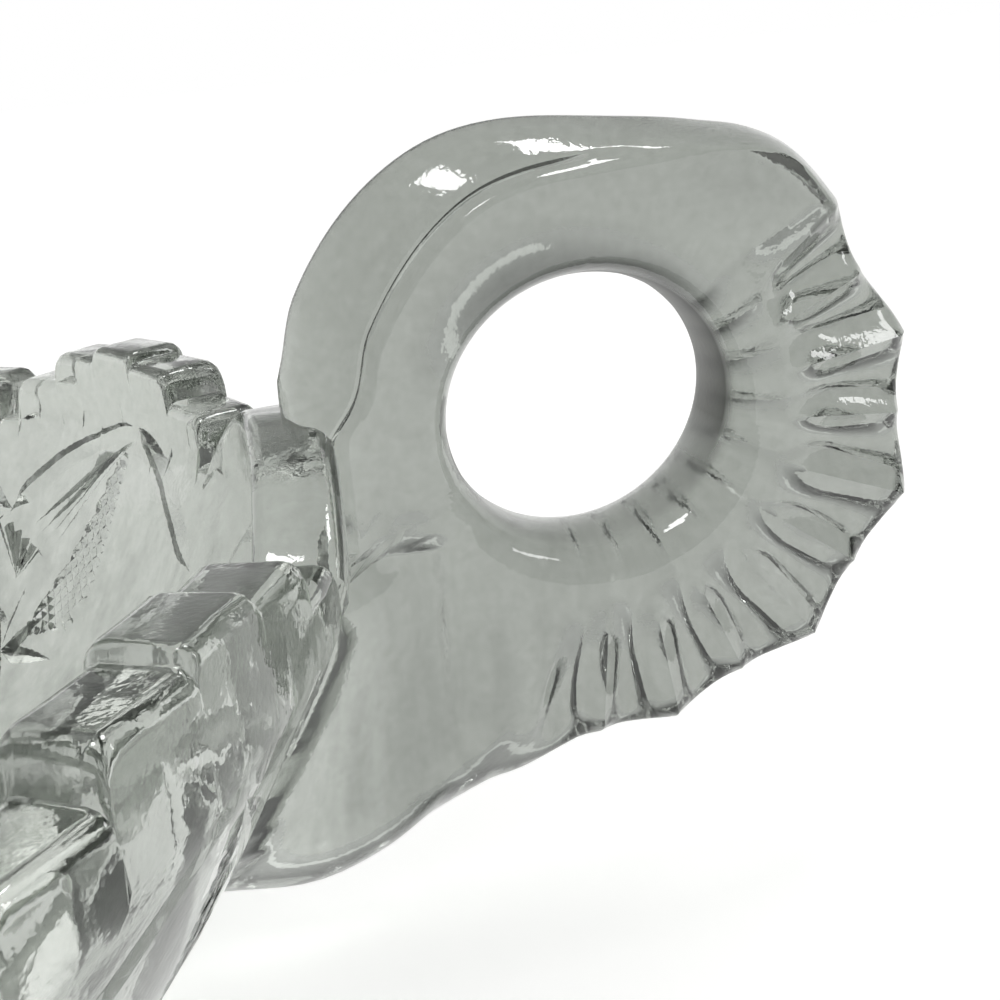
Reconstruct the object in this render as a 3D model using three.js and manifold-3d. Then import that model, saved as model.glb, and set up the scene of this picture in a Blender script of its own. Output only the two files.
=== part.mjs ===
// Nappy dish: a small round bowl of pressed glass with a scalloped, toothed rim,
// mitre cuts on its outer wall, a star under its base and one fluted ring handle.
// Millimetres, +Z up. The origin is the centre of the base, on the table.
// The handle points along +X and lies in the plane Y = 0.

import * as THREE from "three";
import { LoftGeometry } from "three/addons/geometries/LoftGeometry.js";
import { mergeVertices } from "three/addons/utils/BufferGeometryUtils.js";
import Module from "manifold-3d";

const wasm = await Module();
wasm.setup();
const { Vector2, Vector3 } = THREE;
const { clamp, degToRad, smoothstep } = THREE.MathUtils;

// Bowl
const RIM_RADIUS = 69.5; // outside of the wall at the rim
const RIM_WALL = 5.6; // glass at the rim
const RIM_VALLEY = 33; // height of the rim between two scallops
const RIM_STRAIGHT = 7; // pull of the steep part of the wall below the rim
const RIM_FLARE = 5; // how far the wall leans out over that part
const FOOT_RADIUS = 37; // flat base
const FOOT_HEIGHT = 1.5; // upright edge of the base
const FLOOR_THICKNESS = 6; // glass under the middle of the bowl
const FLOOR_RADIUS = 32; // where the inside starts to curve up
const BELLY_PULL = 23; // how far the lower wall runs outwards before it rises
const BELLY_LIFT = 6.3; // how much it rises on the way
const INSIDE_LIFT = 4; // the same on the inside
const BOWL_SEGMENTS = 96; // facets round the bowl
const WALL_STEPS = 9; // facets up the wall

// Rim
const SCALLOPS = 12; // one of them carries the handle
const SCALLOP_RISE = 7.8; // top tooth above the valley
const TEETH = 5; // teeth on each scallop
const TOOTH_ANGLE = 5.5; // degrees taken by one tooth
const ARCH_SHARE = 2.9; // teeth from the middle of a scallop to where its arch would reach the valley
const ARCH_STEPS = 10; // facets of the plain arch below the handle
const RIM_SPARE = 1; // glass above the teeth before they are cut
const CUT_OVERLAP = 0.1; // degrees by which the cuts of two scallops overlap
const CUT_SHARES = [1, 0.5, 0, -0.5, -1]; // points along the top of a cut, in half scallops

// Mitre cuts on the wall
const ARCH_APEX = 31.5; // height of the pointed arch under each scallop
const ARCH_FOOT = 23; // height where two arches meet
const ARCH_BOW = 1.2; // how far the sides of the arch bulge
const MITRE_WIDTH = 2.4;
const MITRE_DEPTH = 1.2;
const MITRE_STEPS = 6; // facets along a cut
const MITRE_LIFT = 0.5; // how far a cut is carried on above the wall, in depths
const MITRE_TIP = 0.03; // width at the ends of a cut, as a share of its width
const MITRE_LOOK = 0.01; // share of a cut over which its direction is taken
const STAR_HEIGHT = 12.5; // height of the star on the wall
const STAR_TURN = 8.5; // degrees from the middle of the panel to the star
const STAR_REACH = 6; // half length of a ray of that star
const STAR_CUTS = 3; // crossing cuts of that star
const STAR_SQUASH = 0.6; // height of that star as a share of its width

// Star under the base
const BASE_RAYS = 20;
const BASE_RAY_INNER = 6;
const BASE_RAY_OUTER = 34;
const BASE_RAY_WIDTH = 3;
const BASE_RAY_DEPTH = 1.2;

// Handle
const HOLE_OFFSET = 18; // from the wall at the rim to the middle of the finger hole
const HOLE_RISE = 5.4; // middle of the finger hole above the valleys of the rim
const HOLE_HALF_WIDTH = 10; // the hole is a little wider than it is high
const HOLE_HALF_HEIGHT = 9.2;
const LIP_ROLL = 4; // width of the rounding at the hole
const LIP_SHARES = [0.08, 0.32, 0.66, 1]; // points across that rounding
const FACE_STEPS = 3; // facets from there to the bevel
const RING_HALF = 5.5; // half thickness of the ring
const EDGE_HALF = 1.2; // half thickness of the outer edge
const EDGE_WIDTH = 1.2; // bevel along the outer edge
const ARM_BEVEL = 3.6; // the same where the arm stands on the rim
const ARM_START = 45; // angle round the hole where the bevel begins to widen
const ARM_END = 170; // angle where it is widest
const FAN_TAPER = 2.2; // how much each face falls away to the fluted edge
const FLUTES = 10;
const FLUTE_ANGLE = 13.8; // degrees taken by one flute
const FLUTE_FIRST = 32; // angle of the first ridge, above the hole's right side
const FLUTE_DEPTH = 1.3;
const FLUTE_START = 3.8; // from the hole to where the flutes begin
const FLUTE_FADE = 8; // length over which a flute reaches its depth
const EDGE_SCALLOP = 1.4; // waves of the outer edge, one for two flutes
const ARM_FOOT_DROP = 7; // how far below the hole's middle the thick arm ends on the web
const STEP_HALF = 1; // half the height over which the arm falls to the web
const WEB_STEP = 1.3; // the web's face lies this much deeper than the arm's
const FILLET = 2.5; // the handle widens this much to each side at the wall
const FILLET_WIDTH = 6;
const SEAT_CLEARANCE = 0.3; // between the handle and the bowl
const SECTION_STEP = 3.5; // degrees between sections where there are no flutes
const FLUTE_SECTIONS = 6; // sections in one flute

// Outline of the handle round the finger hole: degrees up from +X, then the distance from its middle.
const HANDLE_OUTLINE = [
  [-140, 49], [-133, 44.6], [-125, 41], [-119.5, 37], [-115.8, 33.5], [-110, 30.4],
  [-106, 29.2], [-92, 27.3], [-78.5, 26.5], [-65, 27], [-51, 27.5], [-23, 27.6], [-9, 26.6],
  [4, 25.5], [18, 24.4], [32, 23.5], [45, 23.1], [52.5, 22.3], [62.5, 20.9], [77, 19.8],
  [90, 19.8], [114, 21.1], [127, 21.4], [152, 21.6], [171, 22], [200, 31], [220, 49],
];

const WELD = 1e-4; // points closer than this are one
const SLOPE_SPAN = 1; // height over which the wall's slope is taken

// Glass, colourless with a faint grey cast
const glass = new THREE.MeshStandardMaterial({ color: 0xa5aaa6, roughness: 0.05, metalness: 0 });

// Turns a closed geometry into a solid that can be joined and cut.
function solidOf(geometry) {
  const bare = new THREE.BufferGeometry();
  bare.setAttribute("position", geometry.attributes.position);
  bare.setIndex(geometry.index);
  const merged = mergeVertices(bare, WELD);
  const vertProperties = new Float32Array(merged.attributes.position.array);
  const triVerts = new Uint32Array(merged.index.array);
  return new wasm.Manifold(new wasm.Mesh({ numProp: 3, vertProperties, triVerts }));
}

// Turns a solid back into a named mesh of the dish.
function meshOf(solid, name) {
  const { vertProperties, triVerts } = solid.getMesh();
  const geometry = new THREE.BufferGeometry();
  geometry.setAttribute("position", new THREE.BufferAttribute(vertProperties, 3));
  geometry.setIndex(new THREE.BufferAttribute(triVerts, 1));
  geometry.computeVertexNormals();
  const mesh = new THREE.Mesh(geometry, glass);
  mesh.name = name;
  return mesh;
}

// Outer and inner wall as curves of radius and height, from the base to the rim.
const outerWall = new THREE.CubicBezierCurve(
  new Vector2(FOOT_RADIUS, FOOT_HEIGHT),
  new Vector2(FOOT_RADIUS + BELLY_PULL, FOOT_HEIGHT + BELLY_LIFT),
  new Vector2(RIM_RADIUS - RIM_FLARE, RIM_VALLEY - RIM_STRAIGHT),
  new Vector2(RIM_RADIUS, RIM_VALLEY),
);
const innerWall = new THREE.CubicBezierCurve(
  new Vector2(FLOOR_RADIUS, FLOOR_THICKNESS),
  new Vector2(FLOOR_RADIUS + BELLY_PULL, FLOOR_THICKNESS + INSIDE_LIFT),
  new Vector2(RIM_RADIUS - RIM_WALL - RIM_FLARE, RIM_VALLEY - RIM_STRAIGHT),
  new Vector2(RIM_RADIUS - RIM_WALL, RIM_VALLEY),
);
const outerPoints = outerWall.getPoints(WALL_STEPS);
const innerPoints = innerWall.getPoints(WALL_STEPS);
const rimTop = RIM_VALLEY + SCALLOP_RISE;

// Outside radius of the bowl at a height, on the same facets as the wall.
function wallRadius(height) {
  if (height <= FOOT_HEIGHT) return FOOT_RADIUS;
  const next = outerPoints.findIndex((point) => point.y >= height);
  if (next < 1) return RIM_RADIUS;
  const low = outerPoints[next - 1];
  const high = outerPoints[next];
  return low.x + ((high.x - low.x) * (height - low.y)) / (high.y - low.y);
}

// A point of the outer wall and the direction that faces away from it there.
function onWall(angle, height) {
  const rise = wallRadius(height + SLOPE_SPAN) - wallRadius(height - SLOPE_SPAN);
  const slope = rise / (2 * SLOPE_SPAN);
  const radius = wallRadius(height);
  const point = new Vector3(radius * Math.cos(angle), radius * Math.sin(angle), height);
  const normal = new Vector3(Math.cos(angle), Math.sin(angle), -slope).normalize();
  return { point, normal };
}

// Revolves a profile of radius and height round the bowl's axis.
function revolve(profile) {
  const turned = new THREE.LatheGeometry(profile, BOWL_SEGMENTS);
  return solidOf(turned.rotateX(Math.PI / 2));
}

// The bowl before its rim and pattern are cut: base, outer wall, rim, inner wall, floor.
function plainBowl() {
  const profile = [
    new Vector2(0, 0),
    new Vector2(FOOT_RADIUS, 0),
    ...outerPoints,
    new Vector2(RIM_RADIUS, rimTop + RIM_SPARE),
    new Vector2(RIM_RADIUS - RIM_WALL, rimTop + RIM_SPARE),
    ...innerPoints.toReversed(),
    new Vector2(0, FLOOR_THICKNESS),
  ];
  return revolve(profile);
}

// Height of the scallop's arch above the valley, at a distance counted in teeth from its middle.
function archRise(teeth) {
  return SCALLOP_RISE * (1 - (teeth / ARCH_SHARE) ** 2);
}

// Upper edge of one scallop as pairs of angle and height, stepped into teeth.
function toothedEdge() {
  const last = (TEETH - 1) / 2;
  const edge = [];
  for (let tooth = -last; tooth <= last; tooth += 1) {
    const height = RIM_VALLEY + archRise(tooth);
    edge.push([(tooth - 0.5) * TOOTH_ANGLE, height]);
    edge.push([(tooth + 0.5) * TOOTH_ANGLE, height]);
  }
  return edge;
}

// Upper edge of the scallop that carries the handle, a plain arch, or one that is raised a little.
function plainEdge(raised = 0) {
  const span = TEETH * TOOTH_ANGLE;
  const edge = [];
  for (let step = 0; step <= ARCH_STEPS; step += 1) {
    const angle = (step / ARCH_STEPS - 0.5) * span;
    edge.push([angle, RIM_VALLEY + archRise(angle / TOOTH_ANGLE) + raised]);
  }
  return edge;
}

// Everything above one scallop's edge, as a block that fans out through the rim.
function rimCut(edge, middle) {
  const half = 180 / SCALLOPS + CUT_OVERLAP;
  const above = rimTop + 2 * RIM_SPARE;
  const top = CUT_SHARES.map((share) => [half * share, above]);
  const outline = [[-half, RIM_VALLEY], ...edge, [half, RIM_VALLEY], ...top];
  const spare = RIM_WALL / 2;
  const radii = [RIM_RADIUS - RIM_WALL - spare, RIM_RADIUS + spare];
  const sections = radii.map((radius) =>
    outline.map(([angle, height]) => {
      const turn = degToRad(middle + angle);
      return new Vector3(radius * Math.cos(turn), radius * Math.sin(turn), height);
    }),
  );
  return solidOf(new LoftGeometry(sections, { capStart: true, capEnd: true }));
}

// The space that the bowl takes from the handle, with the clearance between them.
function handleSeat() {
  const profile = [
    new Vector2(0, 0),
    new Vector2(FOOT_RADIUS + SEAT_CLEARANCE, 0),
    ...outerPoints.map((point) => new Vector2(point.x + SEAT_CLEARANCE, point.y)),
    new Vector2(RIM_RADIUS + SEAT_CLEARANCE, rimTop + RIM_SPARE),
    new Vector2(0, rimTop + RIM_SPARE),
  ];
  return revolve(profile).subtract(rimCut(plainEdge(SEAT_CLEARANCE), 0));
}

// A V-shaped cut along a line of the wall, pointed at both ends.
// place(share) gives the angle and height at a share of its length, from 0 to 1.
function mitreCut(place, steps) {
  const sections = [];
  for (let step = 0; step <= steps; step += 1) {
    const share = step / steps;
    const here = onWall(...place(share));
    const ahead = onWall(...place(share + MITRE_LOOK)).point;
    const behind = onWall(...place(share - MITRE_LOOK)).point;
    const along = ahead.sub(behind).normalize();
    const across = new Vector3().crossVectors(here.normal, along);
    const swell = Math.max(MITRE_TIP, Math.sin(Math.PI * share));
    const side = across.multiplyScalar((MITRE_WIDTH / 2) * swell * (1 + MITRE_LIFT));
    const deep = here.normal.multiplyScalar(MITRE_DEPTH * swell);
    const bottom = here.point.clone().sub(deep);
    const above = here.point.clone().addScaledVector(deep, MITRE_LIFT);
    sections.push([bottom, above.clone().add(side), above.clone().sub(side)]);
  }
  return solidOf(new LoftGeometry(sections, { capStart: true, capEnd: true }));
}

// The cuts of one panel of the wall: the two sides of its pointed arch, and a star low down.
function panelCuts(middle) {
  const half = 180 / SCALLOPS;
  const cuts = [];
  for (const side of [-1, 1]) {
    const place = (share) => {
      const bow = ARCH_BOW * Math.sin(Math.PI * share);
      const height = ARCH_APEX + (ARCH_FOOT - ARCH_APEX) * share + bow;
      return [degToRad(middle + side * half * share), height];
    };
    cuts.push(mitreCut(place, MITRE_STEPS));
  }
  const radius = wallRadius(STAR_HEIGHT);
  for (let cut = 0; cut < STAR_CUTS; cut += 1) {
    const lean = (Math.PI * (cut + 0.5)) / STAR_CUTS;
    const place = (share) => {
      const reach = STAR_REACH * (2 * share - 1);
      const turn = (reach * Math.cos(lean)) / radius;
      return [degToRad(middle + STAR_TURN) + turn, STAR_HEIGHT + STAR_SQUASH * reach * Math.sin(lean)];
    };
    cuts.push(mitreCut(place, MITRE_STEPS / 2));
  }
  return cuts;
}

// One ray of the star under the base: a long pointed groove.
function baseRay(turn) {
  const length = BASE_RAY_OUTER - BASE_RAY_INNER;
  const ray = new THREE.OctahedronGeometry(1);
  ray.scale(length / 2, BASE_RAY_WIDTH / 2, BASE_RAY_DEPTH);
  ray.translate(BASE_RAY_INNER + length / 2, 0, 0);
  ray.rotateZ(turn);
  return solidOf(ray);
}

// The finished bowl.
function bowl() {
  let solid = plainBowl();
  const pitch = 360 / SCALLOPS;
  for (let scallop = 0; scallop < SCALLOPS; scallop += 1) {
    const edge = scallop === 0 ? plainEdge() : toothedEdge();
    solid = solid.subtract(rimCut(edge, scallop * pitch));
  }
  for (let panel = 1; panel < SCALLOPS; panel += 1) {
    for (const cut of panelCuts(panel * pitch)) {
      solid = solid.subtract(cut);
    }
  }
  for (let ray = 0; ray < BASE_RAYS; ray += 1) {
    solid = solid.subtract(baseRay((2 * Math.PI * ray) / BASE_RAYS));
  }
  return solid;
}

const hole = new Vector2(RIM_RADIUS + HOLE_OFFSET, RIM_VALLEY + HOLE_RISE);
const fluteLast = FLUTE_FIRST - FLUTES * FLUTE_ANGLE;
const outlineReach = new THREE.CubicInterpolant(
  HANDLE_OUTLINE.map(([angle]) => angle),
  HANDLE_OUTLINE.map(([, reach]) => reach),
  1,
);

// Distance from the middle of the finger hole to its edge.
function holeRadius(angle) {
  const across = HOLE_HALF_HEIGHT * Math.cos(degToRad(angle));
  const up = HOLE_HALF_WIDTH * Math.sin(degToRad(angle));
  return (HOLE_HALF_WIDTH * HOLE_HALF_HEIGHT) / Math.hypot(across, up);
}

// How much of the fluted fan there is at an angle: 1 along the flutes, 0 on the plain arm and web.
function fanShare(angle) {
  const start = smoothstep(-angle, -FLUTE_FIRST - FLUTE_ANGLE, -FLUTE_FIRST);
  const end = smoothstep(angle, fluteLast - FLUTE_ANGLE, fluteLast);
  return start * end;
}

// Depth of a row of hollow flutes with sharp ridges between them, from 0 to 1.
function hollow(angle, width) {
  return Math.abs(Math.sin((Math.PI * (angle - FLUTE_FIRST)) / width));
}

// Half thickness of a face of the handle before its outer bevel.
function faceHalf(angle, radius, reach) {
  const x = hole.x + radius * Math.cos(degToRad(angle));
  const z = hole.y + radius * Math.sin(degToRad(angle));
  const fan = fanShare(angle);
  const start = holeRadius(angle) + FLUTE_START;
  const fall = clamp((radius - start) / (reach - start), 0, 1);
  const depth = smoothstep(radius, start, start + FLUTE_FADE);
  const footHeight = hole.y - ARM_FOOT_DROP;
  const below = 1 - smoothstep(z, footHeight - STEP_HALF, footHeight + STEP_HALF);
  const beside = 1 - smoothstep(x, hole.x - HOLE_HALF_WIDTH, hole.x - HOLE_HALF_WIDTH / 2);
  const nearness = 1 - clamp((x - wallRadius(z)) / FILLET_WIDTH, 0, 1);
  const fanFall = fan * (FAN_TAPER * fall + FLUTE_DEPTH * depth * hollow(angle, FLUTE_ANGLE));
  return RING_HALF - fanFall - WEB_STEP * below * beside + FILLET * nearness ** 2;
}

// One section through the handle's glass, from the finger hole outwards: a closed loop.
function handleSection(angle) {
  const fan = fanShare(angle);
  const wave = fan * EDGE_SCALLOP * hollow(angle, 2 * FLUTE_ANGLE);
  const reach = outlineReach.evaluate(angle)[0] - wave;
  const throat = holeRadius(angle);
  const bevel = EDGE_WIDTH + (ARM_BEVEL - EDGE_WIDTH) * smoothstep(angle, ARM_START, ARM_END);
  const crease = reach - bevel;
  const lipEnd = throat + LIP_ROLL;
  const near = LIP_SHARES.map((share) => {
    const radius = throat + LIP_ROLL * share;
    return [radius, faceHalf(angle, radius, reach) * Math.sqrt(1 - (1 - share) ** 2)];
  });
  for (let step = 1; step <= FACE_STEPS; step += 1) {
    const radius = lipEnd + ((crease - lipEnd) * step) / FACE_STEPS;
    near.push([radius, faceHalf(angle, radius, reach)]);
  }
  near.push([reach, EDGE_HALF]);
  const far = near.toReversed().map(([radius, half]) => [radius, -half]);
  return [[throat, 0], ...near, ...far].map(([radius, side]) => {
    const turn = degToRad(angle);
    return new Vector3(hole.x + radius * Math.cos(turn), -side, hole.y + radius * Math.sin(turn));
  });
}

// The handle: a loft of sections all the way round the finger hole, cut back to seat on the bowl.
function handle() {
  const angles = [];
  for (let step = 0; step < FLUTES * FLUTE_SECTIONS; step += 1) {
    angles.push(fluteLast + (step * FLUTE_ANGLE) / FLUTE_SECTIONS);
  }
  const plain = 360 - FLUTES * FLUTE_ANGLE;
  const steps = Math.ceil(plain / SECTION_STEP);
  for (let step = 0; step <= steps; step += 1) {
    angles.push(FLUTE_FIRST + (step * plain) / steps);
  }
  const lowest = HANDLE_OUTLINE[0][0];
  const sections = angles.map((angle) => handleSection(angle > lowest + 360 ? angle - 360 : angle));
  sections[sections.length - 1] = sections[0];
  return solidOf(new LoftGeometry(sections)).subtract(handleSeat());
}

const nappyDish = new THREE.Group();
nappyDish.add(meshOf(bowl(), "bowl"));
nappyDish.add(meshOf(handle(), "handle"));

export default nappyDish;
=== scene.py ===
# %% [markdown]
# # A pressed-glass nappy dish
# A nappy is a small, shallow serving dish with one ring handle. This one is a single pressing of
# clear glass that imitates cut glass: a scalloped rim of square teeth, mitre cuts on the wall and
# a fluted, fan-shaped ring for one finger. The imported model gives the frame, and every piece made
# here stands where its solids stand, in metres.

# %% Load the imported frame
import math

import bmesh
import bpy
from mathutils import Matrix, Vector
from mathutils.geometry import interpolate_bezier


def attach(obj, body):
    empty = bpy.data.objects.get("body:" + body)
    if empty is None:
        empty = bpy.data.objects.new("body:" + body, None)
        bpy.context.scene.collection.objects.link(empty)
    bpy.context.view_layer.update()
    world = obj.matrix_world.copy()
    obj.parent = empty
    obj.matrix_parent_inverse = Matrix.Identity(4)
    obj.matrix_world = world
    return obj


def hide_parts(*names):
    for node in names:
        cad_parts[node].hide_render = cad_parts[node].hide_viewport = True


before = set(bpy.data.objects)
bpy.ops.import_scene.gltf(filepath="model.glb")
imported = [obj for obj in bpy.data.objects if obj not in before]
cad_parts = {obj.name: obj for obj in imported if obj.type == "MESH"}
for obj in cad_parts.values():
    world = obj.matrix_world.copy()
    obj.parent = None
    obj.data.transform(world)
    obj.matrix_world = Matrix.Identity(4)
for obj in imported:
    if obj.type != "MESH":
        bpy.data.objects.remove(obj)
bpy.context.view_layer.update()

# %% [markdown]
# ## The wall of the bowl
# The wall sweeps from a narrow foot to a flared rim, as the plunger and the mould leave it. Its
# two sides are one curve each, seen in section: distance from the axis and height, in
# millimetres. Everything that lies on the wall asks these curves for its place.

# %% Section of the wall
MM = 0.001
RIM_VALLEY = 33.0
FLOOR_LEVEL = 6.0
OUTER_POINTS = [(37, 1.5), (60, 7.8), (64.5, 26), (69.49, RIM_VALLEY)]
INNER_POINTS = [(32, FLOOR_LEVEL), (55, 10), (58.9, 26), (63.9, RIM_VALLEY)]
WALL_STEPS = 160


def curve(points, count):
    """Points along the curve that four control points give."""
    return [tuple(p) for p in interpolate_bezier(*(Vector(p) for p in points), count)]


def radius_at(wall, height):
    """Distance from the axis where a wall passes a height. Past its ends it runs straight up."""
    for (r0, z0), (r1, z1) in zip(wall, wall[1:]):
        if height <= z1:
            return r0 + (r1 - r0) * max(0.0, (height - z0) / (z1 - z0))
    return wall[-1][0]


OUTER_WALL, INNER_WALL = curve(OUTER_POINTS, WALL_STEPS), curve(INNER_POINTS, WALL_STEPS)
MIDDLE_WALL = [((a + c) / 2, (b + d) / 2) for (a, b), (c, d) in zip(OUTER_WALL, INNER_WALL)]
print("wall at half height:", round(radius_at(OUTER_WALL, RIM_VALLEY / 2), 1), "mm from the axis")

# %% [markdown]
# ## The toothed rim
# The rim has twelve scallops. Eleven carry five square teeth with soft, fire-polished corners, and
# the one at the handle is a plain arch. The teeth could be cut out of a plain rim, but their
# corners would then be sharp. Here the rim is a list of columns round the bowl, each with its
# angle and its height, and every tooth gets a few columns for the round of its corners.

# %% Side of a tooth
MM_PER_DEGREE = 1.213
TOOTH_CORNER, CORNER_SHARE = 1.15, 0.8
# The side leans by a little, and its foot runs out into the valley, in degrees
SIDE_LEAN, FOOT_REACH, FOOT_RISE = 0.05, 0.35, 0.06
# A quarter round in three steps, as shares of its size across and down
QUARTER_ROUND = [(0.0, 1.0), (0.134, 0.5), (0.5, 0.134), (1.0, 0.0)]


def riser(angle, before, after):
    """Columns up or down the side of one tooth, with a rounded upper corner."""
    low, high = min(before, after), max(before, after)
    corner = min(TOOTH_CORNER, CORNER_SHARE * (high - low))
    turn = corner / MM_PER_DEGREE
    up = [(-FOOT_REACH, low), (-SIDE_LEAN, low + FOOT_RISE * (high - low))]
    up += [(SIDE_LEAN + x * turn, high - y * corner) for x, y in QUARTER_ROUND]
    if after > before:
        return [(angle + a, h) for a, h in up]
    return [(angle - a, h) for a, h in reversed(up)]


print("columns on the side of a tooth:", len(riser(0.0, 0.0, TOOTH_CORNER)))

# %% Columns of the rim
SCALLOPS, TEETH = 12, 5
PANEL = 360 / SCALLOPS
TOOTH_ANGLE = 5.5
SCALLOP_RISE, ARCH_HALF_TEETH = 7.8, 2.9
PLAIN_FOOT, PLAIN_STEPS = 14.4, 16


def arch(teeth_from_middle):
    """Height of a scallop's arch above the valleys of the rim."""
    return SCALLOP_RISE * (1 - (teeth_from_middle / ARCH_HALF_TEETH) ** 2)


def toothed_scallop(middle):
    """Columns of one scallop with its teeth, as far as the next valley."""
    teeth = [k - (TEETH - 1) / 2 for k in range(TEETH)]
    levels = [0.0] + [arch(t) for t in teeth] + [0.0]
    columns = []
    for k in range(TEETH + 1):
        columns += riser(middle + (k - TEETH / 2) * TOOTH_ANGLE, levels[k], levels[k + 1])
        if k < TEETH:
            columns.append((middle + teeth[k] * TOOTH_ANGLE, levels[k + 1]))
    return columns + [(middle + PANEL / 2, 0.0)]


def plain_scallop(middle):
    """Columns of the smooth arch above the handle, as far as the next valley."""
    edge = TEETH / 2 * TOOTH_ANGLE
    steps = [edge * (2 * k / PLAIN_STEPS - 1) for k in range(PLAIN_STEPS + 1)]
    columns = [(middle - PLAIN_FOOT, 0.0)] + [(middle + s, arch(s / TOOTH_ANGLE)) for s in steps]
    return columns + [(middle + PLAIN_FOOT, 0.0), (middle + PANEL / 2, 0.0)]


PANELS = range(1, SCALLOPS)
RIM_COLUMNS = plain_scallop(0.0)
for panel in PANELS:
    RIM_COLUMNS += toothed_scallop(PANEL * panel)
print("columns round the rim:", len(RIM_COLUMNS))

# %% [markdown]
# ## The bowl
# A bowl is a section turned round its axis, and a spin would make it, but all its columns would be
# alike. A grid does the same with columns that may differ: each of its columns is bent to its
# angle, and its rows follow the section from the middle of the base, up the outside, over the rim
# and down to the middle of the floor. Merging the doubles closes the seam and the two poles.

# %% Rows of the bowl
RIM_ROUND, ROUND_TURNS = 1.1, (0, 30, 60, 90)
WALL_TOP, ROW_GAP = 31.2, 0.6
BAND_SHARES = (0, 0.33, 0.67)
UNDERSIDE = [(0, 0), (20, 0), (36.2, 0), (36.75, 0.15), (37, 0.5)]
INSIDE_FLOOR = [(26, FLOOR_LEVEL), (12, FLOOR_LEVEL), (0, FLOOR_LEVEL)]
OUTER_COUNT, INNER_COUNT = 17, 15
OUTER_ROWS = [p for p in curve(OUTER_POINTS, OUTER_COUNT) if p[1] < WALL_TOP - ROW_GAP]
INNER_ROWS = [p for p in curve(INNER_POINTS, INNER_COUNT) if p[1] < WALL_TOP - ROW_GAP]


def bowl_section(rise):
    """The section at a column whose rim stands that far above the valleys."""
    top = RIM_VALLEY + rise
    shoulder = top - RIM_ROUND
    outside = radius_at(OUTER_WALL, shoulder) - RIM_ROUND
    inside = radius_at(INNER_WALL, shoulder) + RIM_ROUND
    bands = [WALL_TOP + (shoulder - WALL_TOP) * share for share in BAND_SHARES]
    turns = [math.radians(a) for a in ROUND_TURNS]
    arc = [(RIM_ROUND * math.cos(a), shoulder + RIM_ROUND * math.sin(a)) for a in turns]
    rows = UNDERSIDE + OUTER_ROWS + [(radius_at(OUTER_WALL, z), z) for z in bands]
    rows += [(outside + x, z) for x, z in arc] + [((outside + inside) / 2, top)]
    rows += [(inside - x, z) for x, z in reversed(arc)]
    rows += [(radius_at(INNER_WALL, z), z) for z in reversed(bands)]
    return rows + INNER_ROWS[::-1] + INSIDE_FLOOR


print("rows from base to floor:", len(bowl_section(0.0)))

# %% Bend the grid into the bowl
MERGE_MM = 1e-5


def bent_grid(sections, place):
    """A closed skin: a grid whose columns are the sections in turn, each put in its place."""
    bm = bmesh.new()
    columns, rows = len(sections), len(sections[0])
    bmesh.ops.create_grid(bm, x_segments=columns, y_segments=rows - 1, size=0.5)
    for v in bm.verts:
        column = round((v.co.x + 0.5) * columns) % columns
        row = round((v.co.y + 0.5) * (rows - 1))
        v.co = place(column, sections[column][row])
    bmesh.ops.remove_doubles(bm, verts=bm.verts[:], dist=MERGE_MM)
    bmesh.ops.recalc_face_normals(bm, faces=bm.faces[:])
    return bm


def to_object(bm, name):
    """Ends the work in millimetres: scales the shape to metres and puts it in the scene."""
    bmesh.ops.scale(bm, vec=(MM, MM, MM), verts=bm.verts[:])
    mesh = bpy.data.meshes.new(name)
    bm.to_mesh(mesh)
    bm.free()
    piece = bpy.data.objects.new(name, mesh)
    bpy.context.scene.collection.objects.link(piece)
    return piece


def round_the_axis(column, point):
    angle = math.radians(RIM_COLUMNS[column][0])
    return Vector((point[0] * math.cos(angle), point[0] * math.sin(angle), point[1]))


bowl_sections = [bowl_section(rise) for angle, rise in RIM_COLUMNS]
dish = to_object(bent_grid(bowl_sections, round_the_axis), "nappy_glass")
print("bowl:", len(dish.data.vertices), "vertices")

# %% [markdown]
# ## The ring handle
# The handle is a flat ring that grows out of the wall: a rounded lip round the finger hole, a
# bevelled arm on top, a fan of flutes on the far side and a web that runs down the wall. All of it
# is measured from the middle of the hole, so a second grid goes round the hole, and its rows go
# round the thickness of the glass: along the rear to the outer edge and back along the front. A
# ring could be spun or extruded, but its reach and its thickness change at every angle.

# %% Outline of the handle
HOLE_X, HOLE_Z = 87.5, 38.4
# Degrees up from the outward side, and distance from the middle of the hole
HANDLE_OUTLINE = [
    (-140, 49), (-133, 44.6), (-125, 41), (-119.5, 37), (-115.8, 33.5), (-110, 30.4), (-106, 29.2),
    (-92, 27.3), (-78.5, 26.5), (-65, 27), (-51, 27.5), (-23, 27.6), (-9, 26.6), (4, 25.5),
    (18, 24.4), (32, 23.5), (45, 23.1), (52.5, 22.3), (62.5, 20.9), (77, 19.8), (90, 19.8),
    (114, 21.1), (127, 21.4), (152, 21.6), (171, 22), (200, 31), (220, 49),
]


def outline(angle):
    """Reach of the handle at an angle, on a smooth curve through the measured points."""
    at, last = HANDLE_OUTLINE, len(HANDLE_OUTLINE) - 1
    k = next((i for i in range(last - 1) if angle < at[i + 1][0]), last - 1)
    before, after = at[max(k - 1, 0)], at[min(k + 2, last)]
    (a0, r0), (a1, r1) = at[k], at[k + 1]
    span, share = a1 - a0, (angle - a0) / (a1 - a0)
    rise0 = (r1 - before[1]) / (a1 - before[0]) * span / 3
    rise1 = (after[1] - r0) / (after[0] - a0) * span / 3
    rest = 1 - share
    near = rest**3 * r0 + 3 * rest**2 * share * (r0 + rise0)
    return near + 3 * rest * share**2 * (r1 - rise1) + share**3 * r1


print("handle reaches", round(HOLE_X + outline(0), 1), "mm from the axis")

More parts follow.
